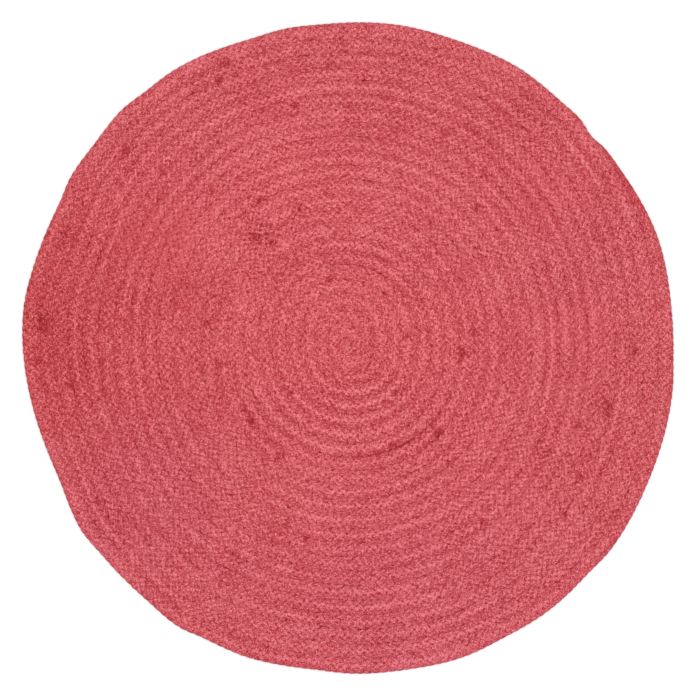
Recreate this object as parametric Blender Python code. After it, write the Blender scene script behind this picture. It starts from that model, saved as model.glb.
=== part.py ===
"""Round rug of braided jute, lying flat on the floor.

One long flat braid is coiled counter-clockwise, as seen from above, and sewn
turn to turn, so the rug is one solid: a flat underside, a rounded rim and a top
whose turns stand up as ribs between the sewn seams.  The braid starts at the
eye, a little off the middle of the rug, and its thinned tail ends on the rim.
Units are metres and degrees, +Z is up and the rug rests on z = 0.
"""
import math

import bmesh
import bpy

# Driving dimensions of the braid and of its coil.
BRAID_WIDTH = 0.0263
BRAID_TOP = 0.0100
SEAM_HEIGHT = 0.0074
EYE_RADIUS = 0.0080
FULL_TURNS = 22
START_DIRECTION = 335.0
TAIL_DIRECTION = 40.0
TAIL_SWEEP = 25.0

# The rounded rim: how far the seam line and the foot stand in from the widest line.
RIM_ROUND = 0.0025
RIM_WIDEST_HEIGHT = 0.0048

# The braid's back across its width: share of the width, share of the rise over the seam.
BACK = (
    {"across": 0.22, "rise": 1.0},
    {"across": 0.78, "rise": 1.0},
)

# How the first stretch of braid, folded flat at the eye, pulls every turn out of
# round: number of bulges in a turn, how far out they reach, direction of one bulge.
PULLS = (
    {"bulges": 2, "reach": 0.0055, "toward": 103.0},
    {"bulges": 4, "reach": 0.0016, "toward": 49.0},
)
PULL_FADE_TURNS = 2.0

# The rim as laid: direction from the eye, distance from the eye to the rim.
RIM = (
    {"toward": 0.0, "reach": 0.5990},
    {"toward": 12.0, "reach": 0.6020},
    {"toward": 22.0, "reach": 0.6000},
    {"toward": 34.0, "reach": 0.5940},
    {"toward": 40.5, "reach": 0.5885},
    {"toward": 50.0, "reach": 0.5950},
    {"toward": 70.0, "reach": 0.5920},
    {"toward": 105.0, "reach": 0.5880},
    {"toward": 122.0, "reach": 0.5950},
    {"toward": 134.0, "reach": 0.5960},
    {"toward": 143.0, "reach": 0.5925},
    {"toward": 150.0, "reach": 0.5945},
    {"toward": 156.0, "reach": 0.5900},
    {"toward": 175.0, "reach": 0.6005},
    {"toward": 190.0, "reach": 0.5940},
    {"toward": 204.0, "reach": 0.5880},
    {"toward": 215.0, "reach": 0.6000},
    {"toward": 227.0, "reach": 0.6005},
    {"toward": 240.0, "reach": 0.6065},
    {"toward": 262.0, "reach": 0.6050},
    {"toward": 275.0, "reach": 0.6110},
    {"toward": 288.0, "reach": 0.6148},
    {"toward": 322.0, "reach": 0.6155},
    {"toward": 335.0, "reach": 0.6090},
    {"toward": 352.0, "reach": 0.6030},
)
RIM_HOLD_TURNS = 6.0

# How finely the coil is cut.
COLUMNS_PER_TURN = 72

JUTE_COLOUR = (0.578, 0.089, 0.108, 1.0)
JUTE_ROUGHNESS = 0.92

TURNS = FULL_TURNS + (TAIL_DIRECTION - START_DIRECTION) % 360.0 / 360.0
LAST_COLUMN = round(TURNS * COLUMNS_PER_TURN)


def smooth_step(value):
    """Ease from 0 to 1 with no corner at either end."""
    value = min(max(value, 0.0), 1.0)
    return value * value * (3.0 - 2.0 * value)


def rim_reach(direction):
    """Distance from the eye to the rim: a smooth closed curve through the RIM rows."""
    direction %= 360.0
    count = len(RIM)
    left = max(index for index in range(count) if RIM[index]["toward"] <= direction)

    def row(index):
        turns, place = divmod(index, count)
        return RIM[place]["toward"] + 360.0 * turns, RIM[place]["reach"]

    (x0, y0), (x1, y1), (x2, y2), (x3, y3) = (row(left + step) for step in (-1, 0, 1, 2))
    slope_1 = (y2 - y0) / (x2 - x0)
    slope_2 = (y3 - y1) / (x3 - x1)
    span = x2 - x1
    t = (direction - x1) / span
    return (
        (2 * t**3 - 3 * t**2 + 1) * y1
        + (t**3 - 2 * t**2 + t) * span * slope_1
        + (3 * t**2 - 2 * t**3) * y2
        + (t**3 - t**2) * span * slope_2
    )


def direction_at(turn):
    """Direction from the eye, in degrees, of a place so many turns along the coil."""
    return START_DIRECTION + 360.0 * turn


def tail_share(turn):
    """Share of the full width that the braid still has, thinned to nothing at its tail."""
    return min(1.0, (TURNS - turn) * 360.0 / TAIL_SWEEP)


def pulled(turn):
    """How far a turn of even pitch is pulled out of round at this place."""
    angle = direction_at(turn)
    reach = sum(
        pull["reach"] * math.cos(math.radians(pull["bulges"] * (angle - pull["toward"])))
        for pull in PULLS
    )
    return reach * smooth_step(turn / PULL_FADE_TURNS)


def even_radius(turn):
    """Radius of a coil of even pitch that starts at the edge of the eye."""
    return math.hypot(BRAID_WIDTH * turn, EYE_RADIUS * max(0.0, 1.0 - turn))


def rim_error(turn):
    """How far the rim lies outside the even coil, in this place's direction."""
    last_turn = TURNS - (TURNS - turn) % 1.0
    even_rim = even_radius(last_turn) + BRAID_WIDTH * tail_share(last_turn) + pulled(last_turn)
    return rim_reach(direction_at(turn)) - RIM_ROUND - even_rim


def seam_radius(turn):
    """Radius of the inner seam; the outer turns lean step by step towards the rim."""
    lean = smooth_step((turn - (TURNS - 1.0 - RIM_HOLD_TURNS)) / RIM_HOLD_TURNS)
    return even_radius(turn) + pulled(turn) + lean * rim_error(turn)


def outer_radius(turn):
    """Radius of the braid's outer seam, or of the rim's seam line on the last turn."""
    if turn + 1.0 <= TURNS:
        return seam_radius(turn + 1.0)
    return rim_reach(direction_at(turn)) - RIM_ROUND


def place(radius, direction, height):
    """A point from its distance and direction from the eye."""
    angle = math.radians(direction)
    return (radius * math.cos(angle), radius * math.sin(angle), height)


def coil_columns(mesh):
    """Points of each cut across the braid: inner seam, back, outer seam, as lists."""
    seams = []
    for column in range(LAST_COLUMN + 1):
        turn = column / COLUMNS_PER_TURN
        seams.append(mesh.verts.new(place(seam_radius(turn), direction_at(turn), SEAM_HEIGHT)))
    columns = []
    rim_line = [seams[LAST_COLUMN]]
    for column in range(LAST_COLUMN):
        turn = column / COLUMNS_PER_TURN
        inner = seam_radius(turn)
        width = outer_radius(turn) - inner
        rise = (BRAID_TOP - SEAM_HEIGHT) * smooth_step(1.5 * tail_share(turn))
        points = [seams[column]]
        for part in BACK:
            radius = inner + part["across"] * width
            height = SEAM_HEIGHT + part["rise"] * rise
            points.append(mesh.verts.new(place(radius, direction_at(turn), height)))
        next_turn = column + COLUMNS_PER_TURN
        if next_turn <= LAST_COLUMN:
            points.append(seams[next_turn])
        else:
            rim_line.append(mesh.verts.new(place(inner + width, direction_at(turn), SEAM_HEIGHT)))
            points.append(rim_line[-1])
        columns.append(points)
    return seams, columns, rim_line


def add_top(mesh, seams, columns):
    """Faces of the coiled braid and of the eye that it closes round."""
    for here, there in zip(columns, columns[1:]):
        for low in range(len(here) - 1):
            mesh.faces.new((here[low], here[low + 1], there[low + 1], there[low]))
    tip = seams[LAST_COLUMN]
    for low in range(len(columns[-1]) - 1):
        mesh.faces.new((columns[-1][low], columns[-1][low + 1], tip))
    eye = mesh.verts.new((0.0, 0.0, BRAID_TOP))
    for column in range(COLUMNS_PER_TURN - 1):
        mesh.faces.new((eye, seams[column], seams[column + 1]))
    mesh.faces.new((eye, seams[COLUMNS_PER_TURN - 1], *reversed(columns[0])))


def add_rim_and_foot(mesh, rim_line):
    """Rounded rim below the outermost seam line, and the flat underside."""
    directions = [TAIL_DIRECTION + 360.0 * step / COLUMNS_PER_TURN for step in range(COLUMNS_PER_TURN)]
    widest = [mesh.verts.new(place(rim_reach(way), way, RIM_WIDEST_HEIGHT)) for way in directions]
    foot = [mesh.verts.new(place(rim_reach(way) - RIM_ROUND, way, 0.0)) for way in directions]
    for upper, lower in ((rim_line, widest), (widest, foot)):
        for step in range(COLUMNS_PER_TURN):
            following = (step + 1) % COLUMNS_PER_TURN
            mesh.faces.new((upper[step], lower[step], lower[following], upper[following]))
    mesh.faces.new(tuple(reversed(foot)))


def centre_on_origin(mesh):
    """Slide the rug so that the middle of its box stands over the origin."""
    for axis in (0, 1):
        values = [vertex.co[axis] for vertex in mesh.verts]
        shift = (min(values) + max(values)) / 2.0
        for vertex in mesh.verts:
            vertex.co[axis] -= shift


def jute_material():
    """Dyed jute: dull and rough, with no metal in it."""
    material = bpy.data.materials.new("dyed_jute")
    material.use_nodes = True
    shader = material.node_tree.nodes["Principled BSDF"]
    shader.inputs["Base Color"].default_value = JUTE_COLOUR
    shader.inputs["Roughness"].default_value = JUTE_ROUGHNESS
    shader.inputs["Metallic"].default_value = 0.0
    return material


def make_rug():
    """The whole rug as one closed mesh object."""
    mesh = bmesh.new()
    seams, columns, rim_line = coil_columns(mesh)
    add_top(mesh, seams, columns)
    add_rim_and_foot(mesh, rim_line)
    centre_on_origin(mesh)
    bmesh.ops.triangulate(mesh, faces=mesh.faces[:])
    bmesh.ops.recalc_face_normals(mesh, faces=mesh.faces[:])
    data = bpy.data.meshes.new("braided_rug")
    mesh.to_mesh(data)
    mesh.free()
    data.materials.append(jute_material())
    data.shade_smooth()
    data.set_sharp_from_angle(angle=math.radians(50.0))
    rug = bpy.data.objects.new("braided_rug", data)
    bpy.context.scene.collection.objects.link(rug)
    return rug


for old in list(bpy.data.objects):
    bpy.data.objects.remove(old, do_unlink=True)
make_rug()
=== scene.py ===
# %% [markdown]
# # A round rug of braided jute
# The real rug is one flat braid of dyed jute, about 26 mm wide and some 43 m long. Its maker starts at
# the eye in the middle, coils the braid round and round like a clock spring, and sews each turn to the
# one before. This lesson dresses a plain solid rug, which has the true outline and a rib for each turn,
# in the five strands that the braid is really made of.
#
# A picture of a weave on a flat disc would be quicker, but it has no depth: it shows no pits between
# the strands when the light comes from the side. Here every strand is a surface of its own.

# %% Load the solid rug as a fixed frame
import math

import bpy
import numpy as np
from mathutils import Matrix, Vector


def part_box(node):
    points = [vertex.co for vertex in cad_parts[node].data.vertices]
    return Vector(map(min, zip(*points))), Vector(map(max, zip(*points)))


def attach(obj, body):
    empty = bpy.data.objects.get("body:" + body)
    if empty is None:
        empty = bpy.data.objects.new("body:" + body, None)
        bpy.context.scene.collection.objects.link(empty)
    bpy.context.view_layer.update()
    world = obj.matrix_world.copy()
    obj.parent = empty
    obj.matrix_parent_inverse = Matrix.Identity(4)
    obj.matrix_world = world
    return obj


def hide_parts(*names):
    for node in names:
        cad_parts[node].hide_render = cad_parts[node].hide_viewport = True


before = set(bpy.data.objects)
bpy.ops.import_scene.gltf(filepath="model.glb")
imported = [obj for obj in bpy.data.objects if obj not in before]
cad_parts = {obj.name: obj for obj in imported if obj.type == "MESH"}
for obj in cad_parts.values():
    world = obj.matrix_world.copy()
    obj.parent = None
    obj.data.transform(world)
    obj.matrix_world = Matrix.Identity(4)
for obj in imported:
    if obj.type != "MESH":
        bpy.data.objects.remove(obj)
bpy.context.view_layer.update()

RUG_NODE = "braided_rug"
rug_low, rug_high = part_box(RUG_NODE)
print(f"solid rug: {rug_high.x - rug_low.x:.4f} x {rug_high.y - rug_low.y:.4f} x {rug_high.z:.4f} m")

# %% [markdown]
# ## The coil that the braid follows
# The solid's top is a spiral, and the strands must follow the same one, so the same few sizes are set
# down here again: the braid's width, the eye it starts from, the turns it makes, and the rim as it
# lies. A rug laid by hand is never quite round, so the rim is a curve through places where it bends,
# with more of them than the solid needs, to keep its small flats and corners. A place along the braid
# is told by its turn, counted from the eye.
#
# A spiral could be drawn as a curve object, but a braid needs to know the inner and the outer seam of
# every turn, so both are worked out as functions of the turn, for whole arrays of turns at once.

# %% Driving sizes of the braid and the coil, in metres and degrees
BRAID_WIDTH = 0.0263
BRAID_TOP = rug_high.z
EYE_RADIUS = 0.0080
FULL_TURNS = 22
START_DIRECTION = 335.0
TAIL_DIRECTION = 40.0
TAIL_SWEEP = 25.0
RIM_ROUND = 0.0025
RIM_HOLD_TURNS = 6.0
PULLS = (
    {"bulges": 2, "reach": 0.0055, "toward": 103.0},
    {"bulges": 4, "reach": 0.0016, "toward": 49.0},
)
PULL_FADE_TURNS = 2.0
TURNS = FULL_TURNS + (TAIL_DIRECTION - START_DIRECTION) % 360.0 / 360.0
print(f"the braid makes {TURNS:.2f} turns")

# %% The rim as it lies: direction from the eye in degrees, distance from the eye in metres
RIM = (
    (6.0, 0.5985), (19.0, 0.6020), (32.0, 0.5945), (37.0, 0.5930), (40.5, 0.5880),
    (44.0, 0.5935), (49.0, 0.5925), (58.0, 0.5955), (70.0, 0.5915), (81.0, 0.5920),
    (95.0, 0.5880), (101.0, 0.5895), (108.0, 0.5875), (122.0, 0.5950), (129.0, 0.5940),
    (134.0, 0.5975), (142.0, 0.5930), (149.0, 0.5945), (154.0, 0.5900), (163.0, 0.5930),
    (175.0, 0.6000), (204.0, 0.5870), (215.0, 0.5995), (221.0, 0.5975), (232.0, 0.6010),
    (239.0, 0.6080), (244.0, 0.6045), (252.0, 0.6070), (264.0, 0.6040), (271.0, 0.6085),
    (280.0, 0.6105), (290.0, 0.6155), (298.0, 0.6135), (307.0, 0.6155), (316.0, 0.6125),
    (322.0, 0.6150), (335.0, 0.6085), (352.0, 0.6035), (357.0, 0.5995),
)


# %% The rim's reach in any direction
def smooth_step(x):
    """0 up to x = 0 and 1 from x = 1 on, with 3x^2 - 2x^3 between them."""
    x = np.clip(x, 0.0, 1.0)
    return x * x * (3.0 - 2.0 * x)


def rim_reach(direction):
    """Distance from the eye to the rim: cubic pieces through the rows of RIM, closed round the circle.
    The slope at a row is the rise between its two neighbours over the angle between them."""
    toward, reach = np.array(RIM).T
    x = np.concatenate([toward - 360.0, toward, toward + 360.0])
    y = np.tile(reach, 3)
    slope = np.zeros(len(x))
    slope[1:-1] = (y[2:] - y[:-2]) / (x[2:] - x[:-2])
    direction = np.asarray(direction) % 360.0
    left = np.searchsorted(x, direction, side="right") - 1
    span = x[left + 1] - x[left]
    t = (direction - x[left]) / span
    return (
        (2 * t**3 - 3 * t**2 + 1) * y[left]
        + (t**3 - 2 * t**2 + t) * span * slope[left]
        + (3 * t**2 - 2 * t**3) * y[left + 1]
        + (t**3 - t**2) * span * slope[left + 1]
    )


# %% The even coil and its pulls
def direction_at(turn):
    """Direction from the eye in degrees: the start's direction plus 360 for each turn."""
    return START_DIRECTION + 360.0 * turn


def tail_share(turn):
    """Share of the full width: 1 along the braid, then evenly down to 0 in the last TAIL_SWEEP degrees."""
    return np.clip((TURNS - turn) * 360.0 / TAIL_SWEEP, 0.0, 1.0)


def pulled(turn):
    """Sum of the pulls, reach * cos(bulges * angle from toward), eased in with the first turns."""
    angle = direction_at(turn)
    reach = sum(
        pull["reach"] * np.cos(np.radians(pull["bulges"] * (angle - pull["toward"]))) for pull in PULLS
    )
    return reach * smooth_step(turn / PULL_FADE_TURNS)


def even_radius(turn):
    """Radius of a coil of even pitch: width times turn, and never inside the eye in the first turn."""
    return np.hypot(BRAID_WIDTH * turn, EYE_RADIUS * np.maximum(0.0, 1.0 - turn))


# %% The seams of each turn
def rim_error(turn):
    """How far the rim lies outside the even coil in this place's direction."""
    last_turn = TURNS - (TURNS - turn) % 1.0
    even_rim = even_radius(last_turn) + BRAID_WIDTH * tail_share(last_turn) + pulled(last_turn)
    return rim_reach(direction_at(turn)) - RIM_ROUND - even_rim


def seam_radius(turn):
    """Inner seam: the even coil plus the pulls, leaning to the rim over the last RIM_HOLD_TURNS."""
    lean = smooth_step((turn - (TURNS - 1.0 - RIM_HOLD_TURNS)) / RIM_HOLD_TURNS)
    return even_radius(turn) + pulled(turn) + lean * rim_error(turn)


# %% Where the eye lies: the middle of the rug's box stands over the origin
RIM_STEP = 5.0

rim_directions = TAIL_DIRECTION + np.arange(0.0, 360.0, RIM_STEP)
rim_x = rim_reach(rim_directions) * np.cos(np.radians(rim_directions))
rim_y = rim_reach(rim_directions) * np.sin(np.radians(rim_directions))
EYE = np.array([-(rim_x.min() + rim_x.max()) / 2.0, -(rim_y.min() + rim_y.max()) / 2.0])
print(f"the eye lies at {EYE[0]:.4f}, {EYE[1]:.4f} m")
print(f"rim's box {np.ptp(rim_x):.4f} x {np.ptp(rim_y):.4f} m, to fit the solid's")
rug_area = math.pi * np.mean(rim_reach(np.arange(0.0, 360.0)) ** 2)
print(f"{rug_area:.3f} square metres inside the rim")

# %% [markdown]
# ## The band of floor that the braid covers
# At each turn the braid lies between its inner seam and the next turn's seam, and the last turn lies
# between its seam and the open rim. At the eye the maker folds the end of the braid in, so the band is
# carried on inwards for a little over a turn, to close the hole. Lengths along the braid are what the
# strands are spaced by, so the band is measured once, finely, and read from those tables afterwards.

# %% Where the band lies open to the rim
RIM_OPEN_TURNS = 0.03


def open_rim(turn):
    """0 where one more turn lies outside, 1 along the last turn, eased over RIM_OPEN_TURNS between."""
    return smooth_step((turn - (TURNS - 1.0)) / RIM_OPEN_TURNS + 1.0)


# %% Inner and outer edge of the band
LEAD_IN_TURNS = 1.15
EYE_FOLD_TURNS = 0.45
EYE_COVER = 0.0045
BAND_STEPS = 60000

turn_table = np.linspace(-LEAD_IN_TURNS, TURNS, BAND_STEPS)
unfolded = smooth_step(1.0 + turn_table / EYE_FOLD_TURNS)
inner_table = np.where(
    turn_table < 0.0,
    EYE_RADIUS * unfolded - EYE_COVER * (1.0 - unfolded),
    seam_radius(turn_table),
)
outer_table = np.where(
    turn_table + 1.0 > TURNS,
    rim_reach(direction_at(turn_table)) - RIM_ROUND,
    seam_radius(np.minimum(turn_table + 1.0, TURNS)),
) + RIM_ROUND * open_rim(turn_table)
middle_table = (inner_table + outer_table) / 2.0
half_table = (outer_table - inner_table) / 2.0

# %% Length along the band's middle
angle_table = np.radians(direction_at(turn_table))
step_lengths = np.hypot(
    np.diff(middle_table), (middle_table[1:] + middle_table[:-1]) / 2.0 * np.diff(angle_table)
)
length_table = np.concatenate([[0.0], np.cumsum(step_lengths)])
BRAID_LENGTH = float(length_table[-1])
print(f"{BRAID_LENGTH:.1f} m of braid")

# %% A place on the band, and how thick the braid is there
BRAID_MIDDLE = BRAID_TOP / 2.0
LEAST_SIZE = 0.1
LOWEST_MIDDLE = 0.3


def on_floor(radius, turn):
    """x and y of a distance from the eye, in the direction of a turn."""
    angle = np.radians(direction_at(turn))
    return EYE[0] + radius * np.cos(angle), EYE[1] + radius * np.sin(angle)


def bulk_of(turn, size):
    """Share of the full thickness: the square root of the band's size, and all of it round the eye."""
    return np.where(turn < 1.0, 1.0, np.sqrt(np.clip(size, LEAST_SIZE, 1.0)))


def middle_height(bulk):
    """Height of the braid's middle, from BRAID_MIDDLE down to LOWEST_MIDDLE of it as the braid thins."""
    return BRAID_MIDDLE * (LOWEST_MIDDLE + (1.0 - LOWEST_MIDDLE) * bulk)


# %% [markdown]
# ## Small unevenness, the same every time
# Nothing in a handmade rug is quite even. Each size that a hand would vary gets a slow, smooth wander:
# seeded random numbers set at even steps and joined by eased curves, so that the same rug comes out of
# every run. Where each strand varies on its own, its number is added to the seed.


# %% A smooth, seeded wander along a length
def wander(length, variation, number=0):
    """Spread times random heights, one for every spacing of length: between two of them it is
    first * (1 - share) + second * share, where share is 3x^2 - 2x^3 for x from 0 to 1 of the way."""
    spacing = variation["spacing"]
    chance = np.random.default_rng(variation["seed"] + number)
    knots = chance.normal(size=int(np.max(length) / spacing) + 3)
    at = (length - np.min(length)) / spacing
    left = at.astype(int)
    share = smooth_step(at - left)
    return variation["spread"] * (knots[left] * (1.0 - share) + knots[left + 1] * share)


# %% [markdown]
# ## Where the rug is darker, warmer or looser
# The colour is uneven over the whole rug. Its left side is darker and warmer, its lower part is
# pinker, and above the middle lies a paler field. In a few small places the strands lie looser, so
# the pits between them open and show dark, partly as painted shade, and in larger ones the braid is
# matted together. Along the turns lie painted light and shade, partly wear: a pale line on the raised
# back of some turns, darker flanks, and in some stretches a painted shadow line along the seam. Here
# and there lies a single deep pit, painted as a dark spot of shadow.
#
# A noise texture would spread such places evenly, but people notice where the larger ones are. So each
# is an oval with its place and size in metres. Shade is how much lighter it is, warm how much less blue,
# the two ring numbers how much stronger the painted pale backs and the painted seam shadows are there,
# and loose how loose the strands lie, which below 0 means matted. Of the deep pits only the few that
# catch the eye are listed one by one, and the others fall anywhere, from seeded random numbers.


# %% One oval, and the sum of many
def oval(x, y, wide, high, **adds):
    """An oval place: its middle, its width and height, and by name what it adds there."""
    return {"x": x, "y": y, "wide": wide, "high": high, **adds}


def oval_sum(x, y, rows, name):
    """Sum over the rows of what they add by that name, times a bell of 1 in the oval's middle and 0 at
    its edge: 3b^2 - 2b^3, where b is 1 less the distance out as a share of the way to the edge."""
    total = np.zeros_like(x)
    for row in rows:
        if name in row:
            out = np.hypot((x - row["x"]) * 2.0 / row["wide"], (y - row["y"]) * 2.0 / row["high"])
            total += row[name] * smooth_step(1.0 - out)
    return total


# %% Large fields of colour, the first darker and warmer towards the left
COLOUR_FIELDS = (
    # Darker and warmer towards the left
    oval(-0.62, 0.06, 0.8, 0.9, shade=-0.16, warm=0.8),
    oval(-0.3, 0.06, 0.8, 0.44, warm=0.9),
    oval(-0.38, -0.27, 0.5, 0.52, shade=-0.03, warm=-1.2),
    oval(-0.1, 0.3, 0.56, 0.36, shade=0.065, warm=0.3),
    oval(0.1, -0.46, 1.1, 0.66, shade=0.015, warm=-0.9),
    oval(0.15, -0.58, 0.5, 0.16, shade=0.04, warm=-0.3),
    oval(0.03, 0.03, 0.56, 0.28, warm=0.9),
    oval(0.43, 0.16, 0.44, 0.44, shade=-0.03, warm=-0.5),
    oval(-0.27, -0.1, 0.22, 0.28, shade=-0.09),
    oval(-0.28, 0.11, 0.22, 0.18, shade=-0.07),
    oval(0.1, -0.4, 0.9, 0.24, shade=-0.05),
    oval(0.47, -0.17, 0.18, 0.16, shade=-0.07),
    oval(-0.14, 0.36, 0.24, 0.2, shade=0.05),
    oval(-0.1, 0.49, 0.4, 0.16, shade=0.05),
    oval(0.54, 0.15, 0.16, 0.26, shade=0.06),
    oval(0.38, 0.42, 0.2, 0.16, shade=-0.06),
    oval(0.15, 0.3, 0.3, 0.26, shade=0.05),
    oval(0.13, -0.46, 0.26, 0.14, shade=0.07),
    oval(0.0, -0.55, 0.26, 0.1, shade=-0.06),
    oval(-0.2, -0.42, 0.24, 0.22, shade=-0.05, warm=-0.3),
    oval(-0.54, -0.05, 0.18, 0.2, shade=-0.06),
    oval(-0.44, -0.29, 0.2, 0.2, shade=-0.055),
    oval(0.33, -0.31, 0.36, 0.2, shade=0.045, warm=-0.3),
    oval(-0.35, 0.36, 0.32, 0.18, shade=-0.045),
    oval(-0.36, 0.06, 0.3, 0.18, shade=-0.045),
    oval(0.0, 0.12, 0.4, 0.12, shade=0.045),
    oval(0.02, -0.25, 0.16, 0.12, shade=0.06),
    oval(-0.15, -0.13, 0.2, 0.16, shade=-0.05),
)

# %% Stretches where the painted pale backs, partly wear, or the painted seam shadows are stronger
RING_FIELDS = (
    oval(0.0, -0.13, 0.46, 0.26, rubbed=1.3),
    oval(0.0, -0.29, 0.44, 0.2, rubbed=0.9),
    oval(0.02, -0.49, 0.66, 0.14, rubbed=0.8),
    oval(-0.44, 0.0, 0.24, 0.26, rubbed=0.4),
    oval(-0.04, 0.28, 0.34, 0.2, rubbed=0.4),
    oval(0.21, 0.34, 0.34, 0.26, rubbed=0.35),
    oval(-0.25, 0.12, 0.3, 0.32, rubbed=-0.45),
    oval(-0.34, 0.22, 0.34, 0.3, rubbed=-0.8),
    oval(0.24, -0.38, 0.5, 0.24, rubbed=-0.2),
    oval(-0.05, -0.41, 0.6, 0.1, rubbed=-0.35),
    oval(0.56, 0.0, 0.3, 0.6, rubbed=-0.45),
)
SEAM_SHADOW_FIELDS = (
    oval(-0.05, 0.4, 0.56, 0.36, parted=1.0),
    oval(0.04, 0.15, 0.22, 0.14, parted=1.1),
    oval(0.1, -0.17, 0.4, 0.3, parted=1.2),
    oval(-0.15, -0.1, 0.18, 0.16, parted=0.8),
    oval(0.06, -0.5, 0.36, 0.14, parted=0.7),
    oval(-0.44, -0.04, 0.2, 0.34, parted=0.6),
)

# %% Small spots
# Where loose, the darker shade is painted shadow of the opened pits; the paler spots are lighter jute
SMALL_SPOTS = (
    oval(-0.165, 0.21, 0.1, 0.065, shade=-0.06, loose=1.0),
    oval(0.475, -0.105, 0.05, 0.075, shade=-0.04, loose=0.7),
    oval(-0.56, 0.05, 0.07, 0.07, shade=-0.05, loose=0.8),
    oval(0.205, -0.005, 0.05, 0.05, shade=-0.05, loose=0.6),
    oval(0.365, -0.19, 0.055, 0.05, shade=-0.04, loose=0.6),
    oval(0.025, -0.3, 0.06, 0.045, shade=-0.05, loose=0.7),
    oval(0.52, 0.03, 0.05, 0.06, shade=-0.04, loose=0.5),
    oval(-0.09, 0.25, 0.05, 0.04, shade=-0.05, loose=0.6),
    oval(0.395, -0.025, 0.05, 0.05, shade=-0.05, loose=0.6),
    oval(-0.52, 0.195, 0.06, 0.06, shade=-0.05, loose=0.5),
    oval(-0.545, -0.19, 0.06, 0.06, shade=0.1),
    oval(0.3, 0.515, 0.08, 0.05, shade=0.09),
    oval(0.07, -0.17, 0.07, 0.05, shade=0.08),
    oval(-0.115, 0.19, 0.05, 0.05, shade=0.08),
    oval(-0.2, 0.07, 0.05, 0.07, shade=0.08),
    oval(-0.335, 0.215, 0.34, 0.29, loose=-1.0),
    oval(0.405, 0.05, 0.28, 0.2, loose=-0.6),
    oval(0.37, 0.29, 0.24, 0.2, loose=-0.5),
    oval(0.0, 0.01, 0.12, 0.12, shade=-0.02, loose=-0.3),
)

# %% Painted shadows of deep pits: the few that catch the eye, and more scattered over the rug
# Each is a dark spot of painted shadow, where a pit between the strands opens deep
MAIN_PIT_SHADOWS = (
    oval(0.475, -0.1, 0.025, 0.025, shade=-0.6),
    oval(0.475, -0.12, 0.02, 0.025, shade=-0.55),
    oval(-0.23, 0.525, 0.055, 0.025, shade=-0.45),
    oval(0.165, -0.155, 0.025, 0.025, shade=-0.65),
    oval(0.21, -0.01, 0.025, 0.035, shade=-0.6),
    oval(-0.56, 0.05, 0.03, 0.03, shade=-0.5),
    oval(-0.17, 0.205, 0.03, 0.025, shade=-0.65),
    oval(-0.14, 0.195, 0.025, 0.02, shade=-0.7),
    oval(-0.145, 0.225, 0.04, 0.015, shade=-0.6),
)
PITS = 36
PIT_SEED = 509
PIT_SIZE = (0.016, 0.029)
PIT_PAINTED_SHADOW = (-0.62, -0.40)
PITS_WITHIN = 0.57

pit_chance = np.random.default_rng(PIT_SEED)
pit_reach = PITS_WITHIN * np.sqrt(pit_chance.uniform(size=PITS))
pit_toward = np.radians(pit_chance.uniform(0.0, 360.0, PITS))
pit_size = pit_chance.uniform(*PIT_SIZE, (2, PITS))
pit_places = (pit_reach * np.cos(pit_toward), pit_reach * np.sin(pit_toward), *pit_size)
PAINTED_PIT_SHADOWS = MAIN_PIT_SHADOWS + tuple(
    oval(x, y, wide, high, shade=shade)
    for x, y, wide, high, shade in zip(*pit_places, pit_chance.uniform(*PIT_PAINTED_SHADOW, PITS))
)
print(f"{len(PAINTED_PIT_SHADOWS)} deep pits")

# %% [markdown]
# ## One strand of the braid
# In a flat braid of five, each strand swings from edge to edge and passes over one neighbour and under
# the next. Seen from above its path is a sine across the band; seen from the side it is a wave with a
# crest at each crossing that it passes over. The crossings come where two of the five sines meet, at 18,
# 54, 126, 162, 198, 234, 306 and 342 degrees of the swing, so the height is a sine whose own angle runs
# through those places, and every strand has the same law with a fifth of a swing between them.
#
# The strand is a soft, flat bundle of fibre, so its section is a flattened hexagon that smooth shading
# rounds off. It is carried along the path, with 20 rings to a swing, so that one ring sits on each
# crossing.

# %% Sizes of a strand and of its swing
STRANDS = 5
LOBE_LENGTH = 0.0139
SWING_LENGTH = STRANDS * LOBE_LENGTH
RINGS_PER_SWING = 20
SECTION = ((1.0, 0.0), (0.56, 1.0), (-0.56, 1.0), (-1.0, 0.0), (-0.56, -1.0), (0.56, -1.0))
STRAND_WIDTH = 0.0094
STRAND_THICKNESS = 0.0058
TURN_PRESS = 0.0022
CREST = 0.0019
CROSSING_SWINGS = (-54.0, 54.0, 126.0, 234.0, 306.0)
CROSSING_WAVES = (-270.0, 270.0, 450.0, 990.0, 1170.0)

# %% How a strand changes at the braid's edge, along the rim and in loose places
EDGE_FROM = 0.70
EDGE_TO = 1.00
EDGE_CHANGE = 0.10
EDGE_DROP = 0.0002
RIM_STRAIGHT = 0.25
LOOSE_SLIM = 0.34
MATTED_LEAST = -0.2

# %% How much the braid varies by hand, and over what length of it
PACE = {"spacing": 0.35, "spread": 0.035, "seed": 3}
FULLNESS = {"spacing": 0.012, "spread": 0.11, "seed": 11}
SIDEWAYS = {"spacing": 0.013, "spread": 0.0008, "seed": 31}
LIFT = {"spacing": 0.009, "spread": 0.00032, "seed": 51}
EDGE_SINK = {"spacing": 0.1, "spread": 0.5, "seed": 5}

# %% The rings along each strand
ring_count = int(BRAID_LENGTH / SWING_LENGTH * RINGS_PER_SWING)
even_length = np.arange(ring_count) * SWING_LENGTH / RINGS_PER_SWING
pace = 1.0 + wander(even_length, PACE)
ring_length = np.cumsum(pace) - pace[0]
ring_length *= BRAID_LENGTH / ring_length[-1]
ring_turn = np.interp(ring_length, length_table, turn_table)
ring_middle = np.interp(ring_turn, turn_table, middle_table)
ring_half = np.interp(ring_turn, turn_table, half_table)
print(f"{ring_count} rings on each strand, {ring_length[1]:.5f} m apart")


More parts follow.
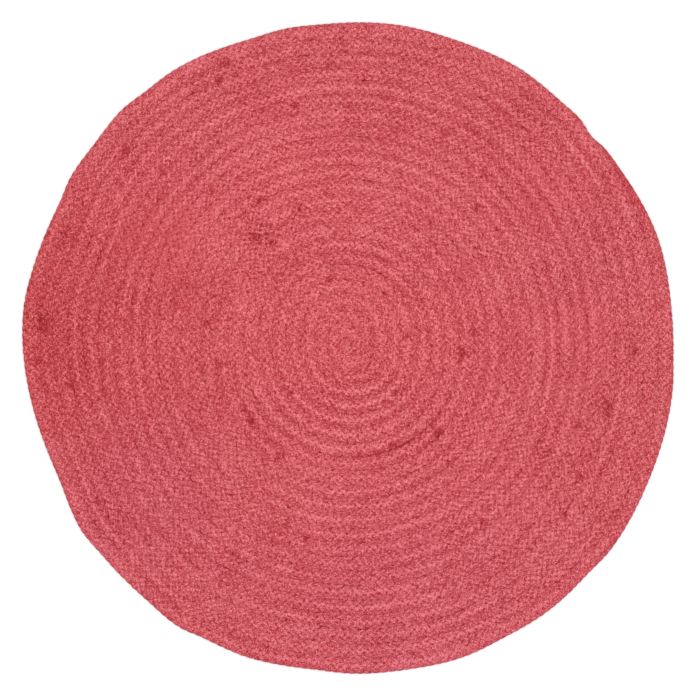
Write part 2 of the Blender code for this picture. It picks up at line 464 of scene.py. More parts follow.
# %% The swing of a strand
def strand_swing(number):
    """Sway, wave and outward at each ring. Sway is the sine of the swing, from -1 at the inner edge to 1
    at the outer. Wave is the angle of the height, which runs through the crossings. Outward is 1 where
    the strand swings out over the open rim, and there it stays longer at the edge."""
    swing = np.arange(ring_count) * 360.0 / RINGS_PER_SWING + number * 360.0 / STRANDS
    sway = np.sin(np.radians(swing))
    outward = np.where(sway > 0.0, open_rim(ring_turn), 0.0)
    sway *= 1.0 + RIM_STRAIGHT * outward * (1.0 - sway**2)
    first = CROSSING_SWINGS[0]
    wave = np.interp((swing - first) % 360.0 + first, CROSSING_SWINGS, CROSSING_WAVES)
    return sway, wave, outward


# %% The path of a strand
def strand_path(number):
    """Points of a strand's middle line, its width and its thickness at each ring. Across the band it lies
    at reach times sway, and its height is the braid's middle less CREST times the sine of the wave, less
    a small drop at the edges. All of it shrinks with the band."""
    sway, wave, outward = strand_swing(number)
    at_edge = smooth_step((np.abs(sway) - EDGE_FROM) / (EDGE_TO - EDGE_FROM))
    size = ring_half / (BRAID_WIDTH / 2.0)
    bulk = bulk_of(ring_turn, size)
    x, y = on_floor(ring_middle, ring_turn)
    looseness = np.maximum(oval_sum(x, y, SMALL_SPOTS, "loose"), MATTED_LEAST)
    fullness = 1.0 + wander(ring_length, FULLNESS, number) - LOOSE_SLIM * looseness
    width = STRAND_WIDTH * size * fullness * (1.0 - EDGE_CHANGE * at_edge)
    thickness = STRAND_THICKNESS * bulk * (1.0 + EDGE_CHANGE * at_edge)
    reach = BRAID_WIDTH / 2.0 * size - width / 2.0 + TURN_PRESS * size * (1.0 - outward)
    aside = wander(ring_length, SIDEWAYS, number) * (1.0 - outward)
    radius = ring_middle + reach * sway + aside
    sink = np.maximum(0.0, 1.0 + wander(ring_length, EDGE_SINK))
    drop = EDGE_DROP * at_edge * (1.0 - outward) * sink
    height = middle_height(bulk) - CREST * bulk * np.sin(np.radians(wave)) - drop
    height += wander(ring_length, LIFT, number)
    return np.stack([*on_floor(radius, ring_turn), height], axis=1), width, thickness


# %% A section carried along a path
def normalised(vectors):
    """Each row divided by its own length."""
    return vectors / np.linalg.norm(vectors, axis=1, keepdims=True)


def carried_section(line, width, thickness):
    """Grid of points, rings by sides: line + side * x * width / 2 + up * z * thickness / 2 for each
    corner (x, z) of SECTION. Side is level and square to the line, and up is square to both."""
    along = normalised(np.gradient(line, axis=0))
    side = normalised(np.cross(along, [0.0, 0.0, 1.0]))
    up = np.cross(side, along)
    x, z = np.array(SECTION).T
    points = (
        line[:, None]
        + side[:, None] * (x[:, None] * width[:, None, None] / 2.0)
        + up[:, None] * (z[:, None] * thickness[:, None, None] / 2.0)
    )
    points[..., 2] = np.maximum(points[..., 2], 0.0)
    return points


# %% [markdown]
# ## Numbers stored on every point
# A few numbers are stored on the points for the dye to read. "shade" adds up what changes slowly: the
# fields and spots, with the painted shadows of deep pits and of opened pits in loose places, the drift
# of the whole braid and the drift of the single strand. "warm" is how much less blue the dye is, and
# "loose" is how many dark flecks of painted pit shadow show.
#
# "across" and the two ring numbers draw the rings that are seen from far away, in painted light and
# shade, partly wear. The back of each turn, where it stands highest, is painted as a thin pale line,
# its flanks are painted darker, and a painted shadow line runs beside the seam, each in some stretches
# more than in others. The first number tells where across the braid a point lies, from 0 at the inner
# seam to 1 at the outer, and the other two how strong the painted pale line and the painted seam
# shadow are there.

# %% How the stored numbers vary along the braid
ACROSS_SWAY = {"spacing": 0.13, "spread": 0.035, "seed": 9}
NARROWEST_HALF = 0.003
# Strength of the painted light on the turns' pale backs, partly wear, along the braid
WORN_AND_LIT_LONG = {"spacing": 0.40, "spread": 0.24, "seed": 7}
WORN_AND_LIT_SHORT = {"spacing": 0.11, "spread": 0.24, "seed": 8}
WORN_AND_LIT_MOST = 2.4
# Strength of the painted shadow line along the seams, along the braid
SEAM_SHADOW_LONG = {"spacing": 0.30, "spread": 0.75, "seed": 12}
SEAM_SHADOW_MEAN = 0.50
SEAM_SHADOW_EVERYWHERE = 0.20
SEAM_SHADOW_MOST = 1.6
BRAID_DRIFT_SHORT = {"spacing": 0.16, "spread": 0.014, "seed": 201}
BRAID_DRIFT_LONG = {"spacing": 0.70, "spread": 0.014, "seed": 202}
STRAND_DRIFT_SHORT = {"spacing": 0.009, "spread": 0.030, "seed": 71}
STRAND_DRIFT_LONG = {"spacing": 0.060, "spread": 0.022, "seed": 91}


# %% The stored numbers
def stored_numbers(points, number):
    """The numbers of a strand's grid of points, rings by sides. Across is 0.5 plus half the distance from
    the braid's middle over its half width, and a little sway. The strength of the painted pale backs,
    light and partly wear, is 1 plus two wanders and the fields. The strength of the painted seam shadow
    is a wander times the fields. Shade is the sum of four drifts and the fields,
    among them the painted pit shadows."""
    x = points[..., 0]
    y = points[..., 1]
    beside = np.hypot(x - EYE[0], y - EYE[1]) - ring_middle[:, None]
    across = 0.5 + 0.5 * beside / np.maximum(ring_half, NARROWEST_HALF)[:, None]
    across += wander(ring_length, ACROSS_SWAY)[:, None]
    # Strengths of the painted pale backs, partly wear, and of the painted seam shadows
    rubbed = (1.0 + wander(ring_length, WORN_AND_LIT_LONG) + wander(ring_length, WORN_AND_LIT_SHORT))[:, None]
    parted = (SEAM_SHADOW_MEAN + wander(ring_length, SEAM_SHADOW_LONG))[:, None]
    drift = wander(ring_length, BRAID_DRIFT_SHORT) + wander(ring_length, BRAID_DRIFT_LONG)
    drift += wander(ring_length, STRAND_DRIFT_SHORT, number)
    drift += wander(ring_length, STRAND_DRIFT_LONG, number)
    # The fields' shade includes the painted shadows of deep pits and of the loose spots
    fields = sum(oval_sum(x, y, rows, "shade") for rows in (COLOUR_FIELDS, SMALL_SPOTS, PAINTED_PIT_SHADOWS))
    parted = parted * (SEAM_SHADOW_EVERYWHERE + oval_sum(x, y, SEAM_SHADOW_FIELDS, "parted"))
    return {
        "shade": drift[:, None] + fields,
        "warm": oval_sum(x, y, COLOUR_FIELDS, "warm"),
        "loose": oval_sum(x, y, SMALL_SPOTS, "loose"),
        "across": across,
        "rubbed": np.clip(rubbed + oval_sum(x, y, RING_FIELDS, "rubbed"), 0.0, WORN_AND_LIT_MOST),
        "parted": np.clip(parted, 0.0, SEAM_SHADOW_MOST),
    }


# %% [markdown]
# ## From a grid of points to a closed mesh
# A carried section is a long tube. Its faces join each ring to the next, and two faces close each end.
# It gets two maps. The first, "fibre", is in real metres, along the strand and round it, and the
# jute's pattern is drawn on it. The second lays the whole tube out flat in rows with no overlap, like a
# ribbon cut into equal lengths, so that the finish can be baked for other programs.


# %% Faces of a tube
END_FACES = np.array([[3, 2, 1, 0], [5, 4, 3, 0], [0, 1, 2, 3], [0, 3, 4, 5]])


def tube_faces(rings, sides):
    """Quads between neighbouring rings, then two quads that close the first ring and two the last."""
    ring = np.arange(rings - 1)[:, None] * sides
    here = np.arange(sides)[None, :]
    following = (here + 1) % sides
    walls = np.stack(
        [ring + here, ring + sides + here, ring + sides + following, ring + following], axis=-1
    )
    last = (rings - 1) * sides
    return np.concatenate([walls.reshape(-1, 4), END_FACES[:2], END_FACES[2:] + last])


# %% The map in metres
def tube_sizes(points):
    """Length of each stretch between two rings, and mean length of each of the sides round a ring."""
    stretches = np.linalg.norm(np.diff(points.mean(axis=1), axis=0), axis=1)
    edges = np.linalg.norm(np.roll(points, -1, axis=1) - points, axis=2).mean(axis=0)
    return stretches, edges


def fibre_map(points, offset):
    """For each face corner: metres along the tube plus an offset, and metres round it."""
    stretches, edges = tube_sizes(points)
    along = np.concatenate([[0.0], np.cumsum(stretches)]) + offset
    around = np.concatenate([[0.0], np.cumsum(edges)])
    u = np.stack([along[:-1], along[1:], along[1:], along[:-1]], axis=-1)[:, None]
    v = np.stack([around[:-1], around[:-1], around[1:], around[1:]], axis=-1)
    walls = np.stack(np.broadcast_arrays(u, v), axis=-1)
    ends = np.empty((*END_FACES.shape, 2))
    ends[:2, :, 0] = along[0]
    ends[2:, :, 0] = along[-1]
    ends[..., 1] = around[: END_FACES.shape[1]]
    return np.concatenate([walls.reshape(-1, 4, 2), ends])


# %% The map laid out flat
ROW_GAP = 0.04


def laid_out_map(points):
    """For each face corner, its place in the unit square. The stretches between rings are cells in rows,
    each cut into a strip for each side, with a gap between the rows. The faces at the two ends take a
    strip each of the cells that follow. Rows are as many as keep a strip's true shape."""
    rings, sides = points.shape[:2]
    stretches, edges = tube_sizes(points)
    rows = math.ceil(math.sqrt(stretches.sum() / edges.sum() * (1.0 - 2.0 * ROW_GAP)))
    columns = math.ceil((rings - 1 + len(END_FACES)) / rows)
    cell = np.arange(rings - 1 + len(END_FACES))[:, None, None]
    u = (cell % columns + np.array([0, 1, 1, 0])) / columns
    strip = (np.arange(sides)[:, None] + np.array([0, 0, 1, 1])) / sides
    v = (cell // columns + ROW_GAP + (1.0 - 2.0 * ROW_GAP) * strip) / rows
    cells = np.stack(np.broadcast_arrays(u, v), axis=-1)
    return np.concatenate([cells[: rings - 1].reshape(-1, 4, 2), cells[rings - 1 :, 0]])


# %% The volume inside a closed mesh
def enclosed_volume(points, faces):
    """Sum of first corner * (second x third) / 6 over the faces' triangles: above 0 if they face out."""
    corners = points[faces]
    triple = [
        (corners[:, 0] * np.cross(corners[:, side], corners[:, side + 1])).sum()
        for side in range(1, faces.shape[1] - 1)
    ]
    return sum(triple) / 6.0


# %% A closed mesh as one object
NUMBERS = ("shade", "warm", "loose", "across", "rubbed", "parted")


def put_in_scene(name, data):
    """An object with that name and data, at the origin of the scene."""
    made = bpy.data.objects.new(name, data)
    bpy.context.scene.collection.objects.link(made)
    return made


def put_piece(name, points, faces, maps, stored, material):
    """Points and faces into a mesh, with its maps, the stored numbers of each point, 0 where none is
    given, smooth shading and its material; then the mesh as one object."""
    mesh = bpy.data.meshes.new(name)
    mesh.from_pydata(points.reshape(-1, 3), [], faces)
    for map_name, values in maps.items():
        layer = mesh.uv_layers.new(name=map_name)
        layer.uv.foreach_set("vector", values.astype(np.float32).ravel())
    for number in NUMBERS:
        attribute = mesh.attributes.new(number, "FLOAT", "POINT")
        values = np.broadcast_to(stored.get(number, 0.0), points.shape[:-1])
        attribute.data.foreach_set("value", values.astype(np.float32).ravel())
    mesh.shade_smooth()
    mesh.materials.append(material)
    mesh.update()
    volume = enclosed_volume(points.reshape(-1, 3), faces)
    print(f"{name}: {len(faces) * (faces.shape[1] - 2)} triangles, {volume:.6f} cubic metres")
    return put_in_scene(name, mesh)


# %% A tube as one object
def put_tube(name, points, offset, stored, material):
    """A carried section as a piece, with its faces and both its maps."""
    maps = {"fibre": fibre_map(points, offset), "OFBake": laid_out_map(points)}
    return put_piece(name, points, tube_faces(*points.shape[:2]), maps, stored, material)


# %% [markdown]
# ## The dyed jute
# Jute is a coarse, dry fibre that takes dye unevenly: fine pale hairs lie beside deep red ones, and
# whole lengths of a strand are a little lighter or darker. So the colour is built from layers that
# follow the strand, on its "fibre" map, from hair streaks half a millimetre wide up to patches as long
# as a hand, and soft layers over the whole rug, like felt, for handling and wear.
#
# All layers are added up to one shade number and read through one ramp of dye colours, because in jute
# the light and dark fibres share one hue. Layers of mixed colours would do too, but then each would
# need its own tuning whenever the dye changes.


# %% Shader nodes and a plain material
def add_node(tree, kind, values=None, **settings):
    """One shader node with its settings and its unlinked inputs."""
    made = tree.nodes.new(kind)
    for key, value in settings.items():
        setattr(made, key, value)
    for key, value in (values or {}).items():
        made.inputs[key].default_value = value
    return made


def math_node(tree, operation, *values):
    """One Math node; each value is a socket or a number."""
    node = add_node(tree, "ShaderNodeMath", operation=operation)
    for place, value in enumerate(values):
        if isinstance(value, bpy.types.NodeSocket):
            tree.links.new(value, node.inputs[place])
        else:
            node.inputs[place].default_value = value
    return node.outputs[0]


def painted(name, inputs):
    """A new material with these inputs of its Principled shader set."""
    material = bpy.data.materials.new(name)
    material.use_nodes = True
    for key, value in inputs.items():
        material.node_tree.nodes["Principled BSDF"].inputs[key].default_value = value
    return material


# %% Sums, shares and stored numbers
def weighed(tree, total, layer, weight):
    """total + weight * (layer - 0.5)."""
    return math_node(tree, "MULTIPLY_ADD", math_node(tree, "SUBTRACT", layer, 0.5), weight, total)


def share_between(tree, value, low, high):
    """0 up to low and 1 from high on, evenly between them; low may be the larger of the two."""
    node = add_node(tree, "ShaderNodeMapRange", {"From Min": low, "From Max": high})
    tree.links.new(value, node.inputs["Value"])
    return node.outputs["Result"]


def stored_number(tree, name):
    """A number stored on the points of a piece."""
    return add_node(tree, "ShaderNodeAttribute", attribute_name=name).outputs["Fac"]


# %% A layer of noise
NOISE_ROUGHNESS = 0.55


def noise_layer(tree, vector, scales, detail, shift):
    """Noise on a stretched copy of a vector: the vector times the scales, moved by the shift."""
    stretch = add_node(tree, "ShaderNodeMapping", {"Scale": scales, "Location": shift})
    tree.links.new(vector, stretch.inputs["Vector"])
    values = {"Scale": 1.0, "Detail": detail, "Roughness": NOISE_ROUGHNESS}
    noise = add_node(tree, "ShaderNodeTexNoise", values)
    tree.links.new(stretch.outputs["Vector"], noise.inputs["Vector"])
    return noise.outputs["Fac"]


# %% A ramp of colours
def filled_ramp(tree, value, stops, interpolation):
    """A colour ramp read at a value, with its stops as pairs of position and colour."""
    ramp = add_node(tree, "ShaderNodeValToRGB")
    ramp.color_ramp.interpolation = interpolation
    elements = ramp.color_ramp.elements
    while len(elements) < len(stops):
        elements.new(0.5)
    for element, (position, colour) in zip(elements, stops):
        element.position = position
        element.color = (*colour, 1.0)
    tree.links.new(value, ramp.inputs["Fac"])
    return ramp.outputs["Color"]


# %% Mixing two colours
MIX_SHARE = 0
MIX_FIRST = 6
MIX_SECOND = 7
MIX_RESULT = 2


def between_colours(tree, share, first, second):
    """first + share * (second - first)."""
    values = {MIX_FIRST: (*first, 1.0), MIX_SECOND: (*second, 1.0)}
    mix = add_node(tree, "ShaderNodeMix", values, data_type="RGBA")
    tree.links.new(share, mix.inputs[MIX_SHARE])
    return mix.outputs[MIX_RESULT]


def multiplied(tree, first, second):
    """Two colours times each other."""
    mix = add_node(tree, "ShaderNodeMix", {MIX_SHARE: 1.0}, data_type="RGBA", blend_type="MULTIPLY")
    tree.links.new(first, mix.inputs[MIX_FIRST])
    tree.links.new(second, mix.inputs[MIX_SECOND])
    return mix.outputs[MIX_RESULT]


# %% Layers of fibre and felt
FIBRE_LAYERS = (
    {"along": 90.0, "round": 2400.0, "detail": 2.0, "shade": 1.00, "relief": 0.60},
    {"along": 380.0, "round": 760.0, "detail": 1.0, "shade": 2.50, "relief": 0.60},
    {"along": 130.0, "round": 260.0, "detail": 1.0, "shade": 0.46, "relief": 0.30},
    {"along": 14.0, "round": 60.0, "detail": 1.0, "shade": 0.20, "relief": 0.00},
)
FIBRE_SHIFT = np.array([3.1, 1.7, 0.0])
FIBRE_LAYERS_APART = np.array([0.0, 0.0, 5.3])
FELT_LAYERS = (
    {"fine": 640.0, "detail": 1.0, "shade": 2.60, "relief": 0.20},
    {"fine": 185.0, "detail": 1.0, "shade": 0.32, "relief": 0.10},
    {"fine": 45.0, "detail": 2.0, "shade": 0.12, "relief": 0.00},
    {"fine": 9.0, "detail": 3.0, "shade": 0.24, "relief": 0.00},
)
FELT_SHIFT = (9.0, 2.0, 4.0)


def fibre_and_felt(tree, fibre, place):
    """Mottle and relief: the layers' noises times their weights, added up. Fibre layers are drawn out
    along the strand on its own map, and felt layers lie evenly in the rug's own space."""
    noises = []
    for number, layer in enumerate(FIBRE_LAYERS):
        scales = (layer["along"], layer["round"], 1.0)
        shift = FIBRE_SHIFT + number * FIBRE_LAYERS_APART
        noises.append((layer, noise_layer(tree, fibre, scales, layer["detail"], shift)))
    for layer in FELT_LAYERS:
        scales = (layer["fine"],) * 3
        noises.append((layer, noise_layer(tree, place, scales, layer["detail"], FELT_SHIFT)))
    mottle = 0.0
    relief = 0.5
    for layer, noise in noises:
        mottle = weighed(tree, mottle, noise, layer["shade"])
        if layer["relief"]:
            relief = weighed(tree, relief, noise, layer["relief"])
    return mottle, relief


# %% Dark flecks: painted shadows of small pits between the strands
# Flecks of painted shadow for small pits between the strands
PIT_SHADOW_FLECKS = {"fine": 150.0, "from": 0.62, "to": 0.71, "everywhere": 0.42, "shade": -0.68}
FLECK_SHIFT = (1.0, 6.0, 3.0)


def pit_shadow_flecks(tree, place, loose):
    """Small dark flecks of painted pit shadow, where one more noise is high: a few everywhere, and more
    in loose places.
    """
    noise = noise_layer(tree, place, (PIT_SHADOW_FLECKS["fine"],) * 3, 1.0, FLECK_SHIFT)
    fleck = share_between(tree, noise, PIT_SHADOW_FLECKS["from"], PIT_SHADOW_FLECKS["to"])
    amount = math_node(tree, "MAXIMUM", math_node(tree, "ADD", loose, PIT_SHADOW_FLECKS["everywhere"]), 0.0)
    return math_node(tree, "MULTIPLY", fleck, amount)


# %% Painted light on the backs, painted shade on flanks and seams: pairs of place across and paleness
# Strength of the painted light and shade across each turn, partly wear
RING_PAINTED_LIGHT = 0.25
# Painted light at 0.46 on the raised back, painted shade on the flanks, lifts at the seams against the
# groove's shade
RING_PROFILE = (
    (0.00, 0.32), (0.12, 0.16), (0.30, 0.34), (0.46, 1.00), (0.60, 0.56), (0.80, 0.00), (1.00, 0.30),
)
RING_MEAN = 0.38
SEAM_NARROW = 0.03
SEAM_WIDE = 0.12
# Painted shadow along the seam line
SEAM_PAINTED_SHADOW = -0.20


def with_rings(tree, shade):
    """The shade plus the ring profile less its mean, times the pale backs' strength, plus the seam's
    line times the seam shadow's strength: painted light and shade across each turn, partly wear.
    """
    across = stored_number(tree, "across")
    stops = [(place, (pale,) * 3) for place, pale in RING_PROFILE]
    profile = filled_ramp(tree, across, stops, "EASE")
    pale = math_node(tree, "MULTIPLY", math_node(tree, "SUBTRACT", profile, RING_MEAN), RING_PAINTED_LIGHT)
    shade = math_node(tree, "MULTIPLY_ADD", pale, stored_number(tree, "rubbed"), shade)
    # Painted shadow line beside the seam, times the seam shadow number
    from_seam = math_node(tree, "PINGPONG", across, 0.5)
    near = share_between(tree, from_seam, SEAM_WIDE, SEAM_NARROW)
    line = math_node(tree, "MULTIPLY", near, SEAM_PAINTED_SHADOW)
    return math_node(tree, "MULTIPLY_ADD", line, stored_number(tree, "parted"), shade)


# %% From shade to colour
DYE_RAMP = (
    (0.00, (0.300, 0.016, 0.025)),
    (0.30, (0.432, 0.0445, 0.057)),
    (0.50, (0.538, 0.0803, 0.0975)),
    (0.72, (0.636, 0.132, 0.156)),
    (1.00, (0.752, 0.230, 0.258)),
)
WARM_TINT = (1.01, 0.99, 0.90)
PINK_TINT = (0.985, 0.985, 1.050)
# Painted shade: a deeper red low in the hollows, for light bounced between the red fibres
PIT_PAINTED_SHADE_TINT = (1.00, 0.80, 0.81)
NO_TINT = (1.0, 1.0, 1.0)
PIT_DEEP = 0.0016
PIT_SHALLOW = 0.0036


def dye_colour(tree, shade, standing):
    """The ramp's colour at this shade, times a tint from pink to warm, and a deeper red tint low in the
    hollows, painted shade for the light bounced between the red fibres there.
    """
    dye = filled_ramp(tree, shade, DYE_RAMP, "LINEAR")
    warmth = math_node(tree, "MULTIPLY_ADD", stored_number(tree, "warm"), 0.5, 0.5)
    dyed = multiplied(tree, dye, between_colours(tree, warmth, PINK_TINT, WARM_TINT))
    shallow = share_between(tree, standing, PIT_DEEP, PIT_SHALLOW)
    return multiplied(tree, dyed, between_colours(tree, shallow, PIT_PAINTED_SHADE_TINT, NO_TINT))


# %% The dyed jute material
JUTE_SURFACE = {"Roughness": 0.92, "Specular IOR Level": 0.1}
MIDDLE_SHADE = 0.518
LOOSE_MOTTLE = 0.45
# Painted light and shade by height: paler on the crests, darker in the hollows
CREST_PAINTED_LIGHT = {"from": 0.0010, "to": 0.0050, "shade": 0.18}
BUMP = {"Strength": 0.6, "Distance": 0.0006}


def dyed_jute(name):
    """Principled surface. Shade is MIDDLE_SHADE, the stored shade, the mottle with its flecks of painted
    pit shadow, stronger in loose places, painted light and shade by the height above or below the
    braid's middle, paler on the crests and darker in the hollows, and the rings of painted light
    and shade."""
    material = painted(name, JUTE_SURFACE)
    tree = material.node_tree
    shader = tree.nodes["Principled BSDF"]
    fibre = add_node(tree, "ShaderNodeUVMap", uv_map="fibre").outputs["UV"]
    place = add_node(tree, "ShaderNodeTexCoord").outputs["Object"]
    loose = stored_number(tree, "loose")
    mottle, relief = fibre_and_felt(tree, fibre, place)
    mottle = math_node(tree, "MULTIPLY_ADD", pit_shadow_flecks(tree, place, loose), PIT_SHADOW_FLECKS["shade"], mottle)
    strength = math_node(tree, "MULTIPLY_ADD", loose, LOOSE_MOTTLE, 1.0)
    shade = math_node(tree, "ADD", stored_number(tree, "shade"), MIDDLE_SHADE)
    shade = math_node(tree, "MULTIPLY_ADD", mottle, strength, shade)
    height = add_node(tree, "ShaderNodeSeparateXYZ")
    tree.links.new(place, height.inputs[0])
    above = math_node(tree, "SUBTRACT", height.outputs["Z"], BRAID_MIDDLE)
    standing = math_node(tree, "ABSOLUTE", above)
    # Painted light on the crests and painted shade in the hollows
    painted_crest_light = share_between(tree, standing, CREST_PAINTED_LIGHT["from"], CREST_PAINTED_LIGHT["to"])
    shade = with_rings(tree, weighed(tree, shade, painted_crest_light, CREST_PAINTED_LIGHT["shade"]))
    tree.links.new(dye_colour(tree, shade, standing), shader.inputs["Base Color"])
    bump = add_node(tree, "ShaderNodeBump", BUMP)
    tree.links.new(relief, bump.inputs["Height"])
    tree.links.new(bump.outputs["Normal"], shader.inputs["Normal"])
    return material


jute = dyed_jute("dyed_jute")
print(f"{jute.name}: {len(jute.node_tree.nodes)} nodes")

# %% [markdown]
# ## The five strands
# Each strand runs the whole length of the braid, from the fold in the eye to the tail on the rim. One
# mesh could hold all five, but apart they can be hidden one by one, to follow a single strand.

# %% Make the five strands
MAP_APART = 60.0

strands = []
paths = []
for number in range(STRANDS):
    line, width, thickness = strand_path(number)
    paths.append((line, thickness))
    points = carried_section(line, width, thickness)
    name = f"braid_strand_{number + 1}"
    stored = stored_numbers(points, number)
    strands.append(put_tube(name, points, MAP_APART * number, stored, jute))

# %% [markdown]
# ## The heart of the braid
# Jute strands are soft, and inside the braid they are pressed into one another until no light comes
# through. The heart is that pressed inside: a flat band of matted fibre that follows the coil between
# the strands' upper and lower crests. It shows only as the floor of the pits between them, and its
# dark colour is painted shade, the shade deep down in those pits.
#
# It could be left out, but then the floor would shine up through every pit. It is the same kind of
# carried section as a strand, only wide and thin.

# %% Make the heart
HEART_STEP = 0.009
HEART_THICKNESS = 0.0034
HEART_OVERLAP = 0.0006
HEART_RIM_GAP = 0.004
# The heart's dark colour is painted shade of the deep pits
HEART_PAINTED_SHADE = -0.45

heart_length = np.linspace(0.0, BRAID_LENGTH, int(BRAID_LENGTH / HEART_STEP))
heart_turn = np.interp(heart_length, length_table, turn_table)
heart_half = np.interp(heart_turn, turn_table, half_table)
heart_middle = np.interp(heart_turn, turn_table, middle_table)
heart_bulk = bulk_of(heart_turn, heart_half / (BRAID_WIDTH / 2.0))
heart_line = np.stack([*on_floor(heart_middle, heart_turn), middle_height(heart_bulk)], axis=1)
heart_open = open_rim(heart_turn)
heart_width = 2.0 * heart_half + HEART_OVERLAP * (1.0 - heart_open) - HEART_RIM_GAP * heart_open
heart_points = carried_section(heart_line, heart_width, HEART_THICKNESS * heart_bulk)
heart = put_tube("braid_heart", heart_points, MAP_APART * STRANDS, {"shade": HEART_PAINTED_SHADE}, jute)

# %% [markdown]
# ## Loose fibres
# Jute is hairy: short fibres work loose from the strands and lie over them, some paler and some darker
# than the rest. They soften the edges of the strands and roughen the surface seen from the side.
#
# Blender's hair would do for a picture, but it isn't a mesh, and other programs would lose it. So each
# fibre is a closed thread of three sides, pointed at both ends and bent through five places. Its middle
# rests on a crest of a strand, and it runs roughly along it and bows down or up towards its ends. All of
# them are made at once, as arrays of fibres by places by sides.

# %% Where the fibres lie
FIBRES = 10800
FIBRE_SEED = 401
FIBRE_SLANT = 32.0
FIBRE_CURL = 0.30
FIBRE_HALF_LENGTH = (0.0040, 0.0120)
FIBRE_RADIUS = (0.00010, 0.00022)
FIBRE_BOW = (-0.0004, 0.0018)
CREST_SHARE = 0.6

chance = np.random.default_rng(FIBRE_SEED)
lines = np.stack([line for line, thickness in paths])
tops = np.stack([line[:, 2] + thickness / 2.0 for line, thickness in paths])
crests = np.argwhere(tops[:, 1:-1] > BRAID_MIDDLE + STRAND_THICKNESS / 2.0 + CREST_SHARE * CREST)
own_strand, own_ring = crests[chance.choice(len(crests), FIBRES, replace=False)].T
own_ring = own_ring + 1
heading = lines[own_strand, own_ring + 1] - lines[own_strand, own_ring - 1]
slant = np.arctan2(heading[:, 1], heading[:, 0])
slant += np.radians(FIBRE_SLANT) * chance.normal(size=FIBRES)
half_length = chance.uniform(*FIBRE_HALF_LENGTH, FIBRES)
curl = FIBRE_CURL * chance.normal(size=FIBRES) * half_length
bow = chance.uniform(*FIBRE_BOW, FIBRES)
fibre_radius = chance.uniform(*FIBRE_RADIUS, FIBRES)
print(f"{FIBRES} fibres, {FIBRES / rug_area:.0f} on each square metre of rug")


# %% Points of the fibres
FIBRE_STEPS = np.array([-1.0, -0.5, 0.0, 0.5, 1.0])
FIBRE_SIDES = 3
FIBRE_POINTS = 2 + FIBRE_SIDES * (len(FIBRE_STEPS) - 2)
RIM_HAIR = 0.0008


def fibre_lines():
    """Five places on each fibre: crest + heading * s * half length + side * curl * s^2 - up * bow * s^2,
    for s from -1 to 1, and no further out than the rim and RIM_HAIR."""
    s = FIBRE_STEPS
    ahead = s * half_length[:, None]
    aside = s**2 * curl[:, None]
    x = lines[own_strand, own_ring, 0][:, None] - EYE[0]
    y = lines[own_strand, own_ring, 1][:, None] - EYE[1]
    x = x + np.cos(slant)[:, None] * ahead - np.sin(slant)[:, None] * aside
    y = y + np.sin(slant)[:, None] * ahead + np.cos(slant)[:, None] * aside
    z = tops[own_strand, own_ring][:, None] - s**2 * bow[:, None]
    trim = np.minimum(1.0, (rim_reach(np.degrees(np.arctan2(y, x))) + RIM_HAIR) / np.hypot(x, y))
    return np.stack([EYE[0] + x * trim, EYE[1] + y * trim, z], axis=-1)


def fibre_points(middle):
    """Eleven points for each fibre: its first place, three round each inner place, and its last place.
    The three are middle + radius * (side * cos(a) + up * sin(a)), for angles a of 0, 120 and 240."""
    side = np.stack([np.sin(slant), -np.cos(slant), np.zeros(FIBRES)], axis=1)
    up = np.array([0.0, 0.0, 1.0])
    angle = np.radians(360.0 / FIBRE_SIDES * np.arange(FIBRE_SIDES))[:, None]
    spread = side[:, None] * np.cos(angle) + up * np.sin(angle)
    rings = middle[:, 1:-1, None] + spread[:, None] * fibre_radius[:, None, None, None]
    return np.concatenate([middle[:, :1], rings.reshape(FIBRES, -1, 3), middle[:, -1:]], axis=1)


# %% Faces of the fibres
def fibre_triangles():
    """Place along, from 0 to 4, and place round, from 0 to 3, of each corner of one fibre's triangles:
    one for each side at both ends, and two for each side of the two stretches between them."""
    side = np.arange(FIBRE_SIDES)[:, None]
    pattern = [([0, 1, 1], [0.5, 0, 1]), ([3, 4, 3], [0, 0.5, 1])]
    for ring in (1, 2):
        pattern += [([ring, ring + 1, ring + 1], [0, 0, 1]), ([ring, ring + 1, ring], [0, 1, 1])]
    along = np.concatenate([np.broadcast_to(place, (FIBRE_SIDES, 3)) for place, around in pattern])
    around = np.concatenate([side + np.array(around) for place, around in pattern])
    return along, around


fibre_along, fibre_round = fibre_triangles()
last_place = len(FIBRE_STEPS) - 1
fibre_index = 1 + FIBRE_SIDES * (fibre_along - 1) + fibre_round % FIBRE_SIDES
fibre_index = np.where(fibre_along == 0, 0, fibre_index)
fibre_index = np.where(fibre_along == last_place, FIBRE_POINTS - 1, fibre_index).astype(int)
every = np.arange(FIBRES)[:, None, None]
hair_faces = (fibre_index + FIBRE_POINTS * every).reshape(-1, 3)

# %% Maps of the fibres: metres along and round, and a cell each in the unit square
CELL_GAP = 0.08
HAIR_MAP_APART = 0.037

cells = math.ceil(math.sqrt(FIBRES))
along_share = CELL_GAP + (1.0 - 2.0 * CELL_GAP) * fibre_along / last_place
round_share = CELL_GAP + (1.0 - 2.0 * CELL_GAP) * fibre_round / FIBRE_SIDES
metre_u = every * HAIR_MAP_APART + half_length[:, None, None] * 2.0 * fibre_along / last_place
metre_v = fibre_radius[:, None, None] * 2.0 * fibre_round
hair_maps = {
    "fibre": np.stack([metre_u, metre_v], axis=-1),
    "OFBake": np.stack([every % cells + along_share, every // cells + round_share], axis=-1) / cells,
}

# %% Make the loose fibres
HAIR_SHADE = 0.10
HAIR_SHADE_SPREAD = 0.16

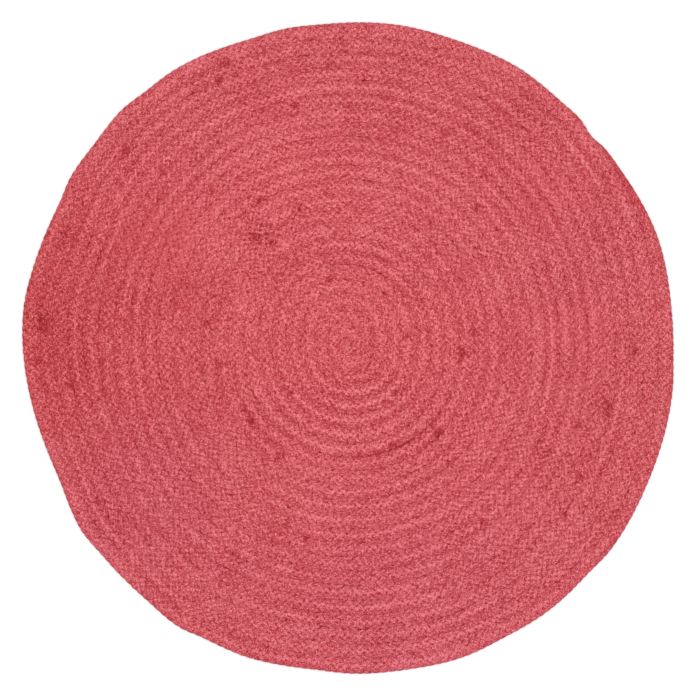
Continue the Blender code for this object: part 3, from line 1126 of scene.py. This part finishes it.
hair_points = fibre_points(fibre_lines())
hair_x = hair_points[..., 0]
hair_y = hair_points[..., 1]
hair_shade = HAIR_SHADE + HAIR_SHADE_SPREAD * chance.normal(size=FIBRES)[:, None]
hair_stored = {
    "shade": hair_shade + oval_sum(hair_x, hair_y, COLOUR_FIELDS, "shade"),
    "warm": oval_sum(hair_x, hair_y, COLOUR_FIELDS, "warm"),
}
loose_fibres = put_piece("loose_fibres", hair_points, hair_faces, hair_maps, hair_stored, jute)

# %% [markdown]
# ## Camera, light and floor
# The rug is seen straight from above, filling the picture as it would from a long lens high over the
# floor. The light is a plain white sky and a broad soft lamp overhead, so it falls into the pits only
# a little and casts no hard shadow.

# %% Camera
PICTURE_SPAN = 1.2795
CAMERA_HEIGHT = 3.2
SENSOR = 36.0
FARTHEST = 20.0

camera = put_in_scene("camera", bpy.data.cameras.new("camera"))
camera.data.sensor_width = SENSOR
camera.data.lens = SENSOR * (CAMERA_HEIGHT - BRAID_MIDDLE) / PICTURE_SPAN
camera.data.clip_end = FARTHEST
camera.location = (0.0, 0.0, CAMERA_HEIGHT)
bpy.context.scene.camera = camera
print(f"lens {camera.data.lens:.1f} mm at {CAMERA_HEIGHT} m")

# %% Light
SKY_STRENGTH = 0.72
LAMP_SIZE = 3.0
LAMP_HEIGHT = 2.6
LAMP_POWER = 52.0

sky = bpy.data.worlds.new("plain_sky")
sky.use_nodes = True
background = sky.node_tree.nodes["Background"].inputs
background["Color"].default_value = (1.0, 1.0, 1.0, 1.0)
background["Strength"].default_value = SKY_STRENGTH
bpy.context.scene.world = sky
lamp = put_in_scene("soft_lamp", bpy.data.lights.new("soft_lamp", "AREA"))
lamp.data.shape = "DISK"
lamp.data.size = LAMP_SIZE
lamp.data.energy = LAMP_POWER
lamp.location = (0.0, 0.0, LAMP_HEIGHT)

# %% Floor
FLOOR_HALF = 6.0
FLOOR_DROP = 0.0003
FLOOR_SURFACE = {"Base Color": (0.9, 0.9, 0.9, 1.0), "Roughness": 0.8}

floor_mesh = bpy.data.meshes.new("floor")
floor_sides = ((-1, -1), (1, -1), (1, 1), (-1, 1))
floor_corners = [(x * FLOOR_HALF, y * FLOOR_HALF, -FLOOR_DROP) for x, y in floor_sides]
floor_mesh.from_pydata(floor_corners, [], [(0, 1, 2, 3)])
floor_mesh.materials.append(painted("pale_floor", FLOOR_SURFACE))
floor = put_in_scene("floor", floor_mesh)
bpy.context.scene.view_settings.view_transform = "Standard"

# %% [markdown]
# ## Tie every piece to the rug
# The rug has no moving part, so every piece rides on its one body. The strands and the heart together
# stand in for the solid rug, which is hidden.

# %% Ride on the rug's body, and hide the solid rug
RUG_BODY = "root"

for piece in [*strands, heart, loose_fibres]:
    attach(piece, RUG_BODY)
    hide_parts(RUG_NODE)
